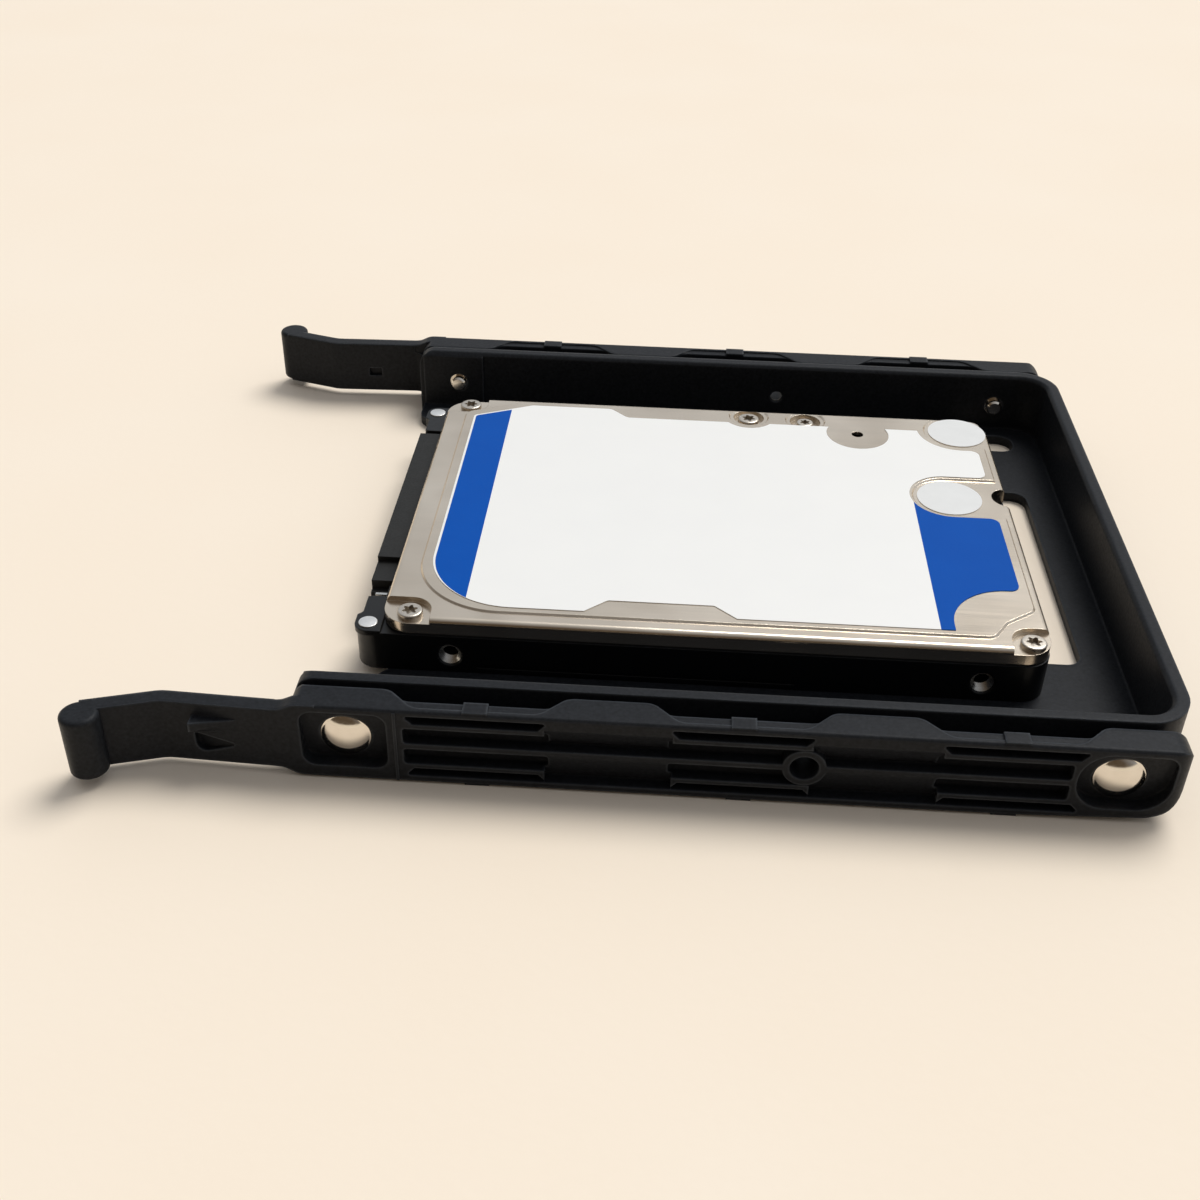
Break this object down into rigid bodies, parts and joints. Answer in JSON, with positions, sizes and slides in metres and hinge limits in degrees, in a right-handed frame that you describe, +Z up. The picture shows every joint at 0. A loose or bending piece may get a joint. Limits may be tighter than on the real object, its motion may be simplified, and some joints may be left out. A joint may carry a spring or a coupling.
{
  "type": "hard drive tray",
  "caption": "Black plastic drive tray with ribbed guide rails, spring arms and steel side pins, holding a small hard drive screwed to its floor.",
  "frame": {"origin": "on the table under the middle of the overall box", "axes": "+X from the spring arms to the closed end, along the rails; +Z up from the floor of the tray; +Y to the left seen from the arms"},
  "size_m": [0.1484, 0.1248, 0.0126],
  "materials": {
    "black_plastic": "moulded black plastic, fine matte grain",
    "pin_steel": "turned and nickel plated",
    "zinc_steel": "zinc plated",
    "base_casting": "black coated die casting",
    "cover_sheet": "brushed stainless sheet",
    "gasket_rubber": "moulded rubber",
    "screw_steel": "nickel plated",
    "label_white": "white printed film",
    "label_blue": "blue printed film",
    "seal_film": "pale grey film",
    "board_laminate": "green solder mask",
    "chip_resin": "moulded resin",
    "connector_plastic": "moulded black plastic",
    "contact_gold": "gold plated",
    "motor_steel": "machined steel",
    "hub_aluminium": "machined aluminium",
    "platter_surface": "polished",
    "coil_copper": "enamelled copper winding",
    "slider_ceramic": "dark ceramic",
    "magnet_nickel": "nickel plated",
    "ramp_plastic": "natural engineering plastic",
    "flex_film": "amber film on a stiffener"
  },
  "bodies": {
    "tray_with_drive": {"tray": "black_plastic", "pin_front_left": "pin_steel", "pin_front_right": "pin_steel", "pin_rear_left": "pin_steel", "pin_rear_right": "pin_steel", "tray_screws": "zinc_steel", "drive_base": "base_casting", "drive_cover": "cover_sheet", "cover_gasket": "gasket_rubber", "cover_screws": "screw_steel", "cover_label": "label_white", "label_band": "label_blue", "label_field": "label_blue", "seal_corner": "seal_film", "seal_side": "seal_film", "circuit_board": "board_laminate", "board_chips": "chip_resin", "board_screws": "screw_steel", "sata_connector": "connector_plastic", "sata_contacts": "contact_gold", "jumper_pins": "contact_gold", "spindle_motor": "motor_steel", "pivot_bearing": "motor_steel", "magnet_lower": "magnet_nickel", "magnet_upper": "magnet_nickel", "parking_ramp": "ramp_plastic", "flex_connector": "flex_film"},
    "spindle": {"spindle_hub": "hub_aluminium", "platter_lower": "platter_surface", "platter_spacer": "hub_aluminium", "platter_upper": "platter_surface", "platter_clamp": "motor_steel", "clamp_screws": "motor_steel"},
    "actuator": {"head_actuator": "hub_aluminium", "voice_coil": "coil_copper", "head_sliders": "slider_ceramic"}
  },
  "joints": [
    {"name": "spindle_spin", "type": "hinge", "parent": "tray_with_drive", "child": "spindle", "pos_m": [0.0007, 0, 0.0078], "axis": [0, 0, 1], "continuous": true},
    {"name": "head_swing", "type": "hinge", "parent": "tray_with_drive", "child": "actuator", "pos_m": [0.03609, 0.01202, 0.0078], "axis": [0, 0, 1], "range_deg": [-38.2, 0]}
  ]
}
